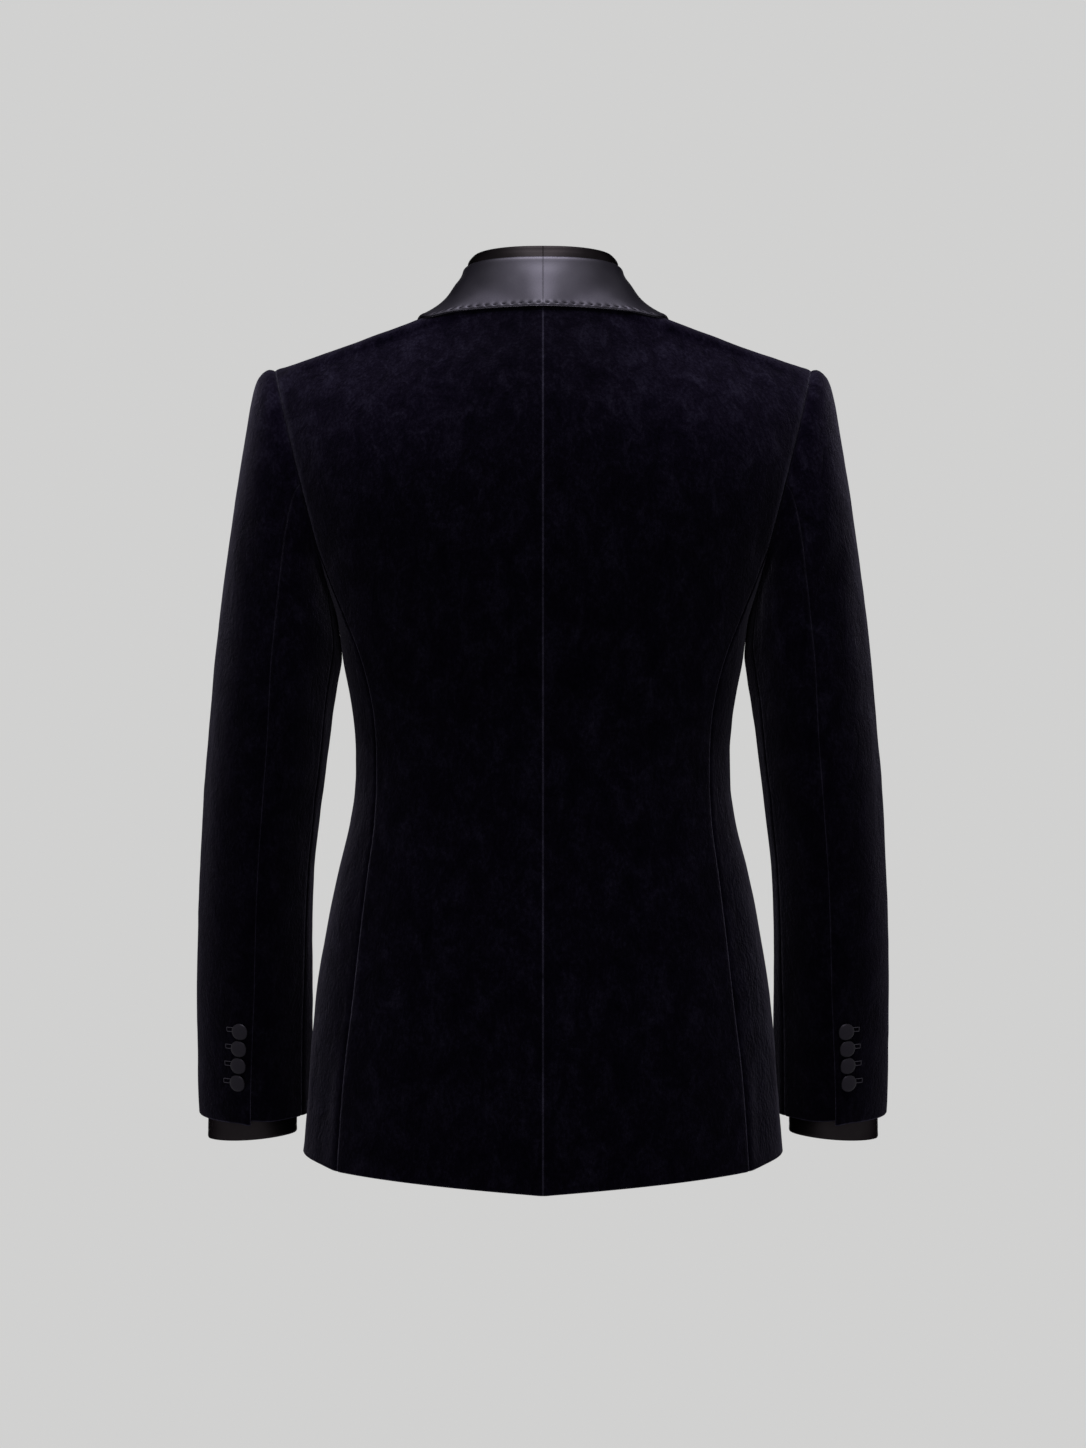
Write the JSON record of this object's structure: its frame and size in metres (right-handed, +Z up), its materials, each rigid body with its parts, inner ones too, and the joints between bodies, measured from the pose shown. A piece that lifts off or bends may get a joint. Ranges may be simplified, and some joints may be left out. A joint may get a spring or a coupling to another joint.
{
  "type": "tuxedo jacket",
  "caption": "Velvet dinner jacket with a satin shawl collar, filled out as if worn, with its neckband, cuffs and covered sleeve buttons.",
  "frame": {"origin": "middle of the neck opening, level with the neck seam at the centre back, where the wearer's neck and shoulders hold the jacket up", "axes": "+Z up; the jacket faces -Y, so its back and the picture's camera are at +Y; +X is the wearer's left"},
  "size_m": [0.5948, 0.2532, 0.7846],
  "materials": {
    "velvet": "near-black navy cotton velvet with a short nap",
    "satin": "black satin with a soft sheen",
    "inner_black": "smooth black cloth with a faint sheen",
    "button_satin": "satin stretched over a domed button"
  },
  "bodies": {
    "root": {"back_left": "velvet", "side_left": "velvet", "front_left": "velvet", "top_sleeve_upper_left": "velvet", "top_sleeve_lower_left": "velvet", "under_sleeve_left": "velvet", "shawl_collar_left": "satin", "neckband_left": "inner_black", "cuff_left": "inner_black", "sleeve_button_left_1": "button_satin", "sleeve_button_left_2": "button_satin", "sleeve_button_left_3": "button_satin", "sleeve_button_left_4": "button_satin", "back_right": "velvet", "side_right": "velvet", "front_right": "velvet", "top_sleeve_upper_right": "velvet", "top_sleeve_lower_right": "velvet", "under_sleeve_right": "velvet", "shawl_collar_right": "satin", "neckband_right": "inner_black", "cuff_right": "inner_black", "sleeve_button_right_1": "button_satin", "sleeve_button_right_2": "button_satin", "sleeve_button_right_3": "button_satin", "sleeve_button_right_4": "button_satin", "front_button": "button_satin"}
  },
  "joints": []
}
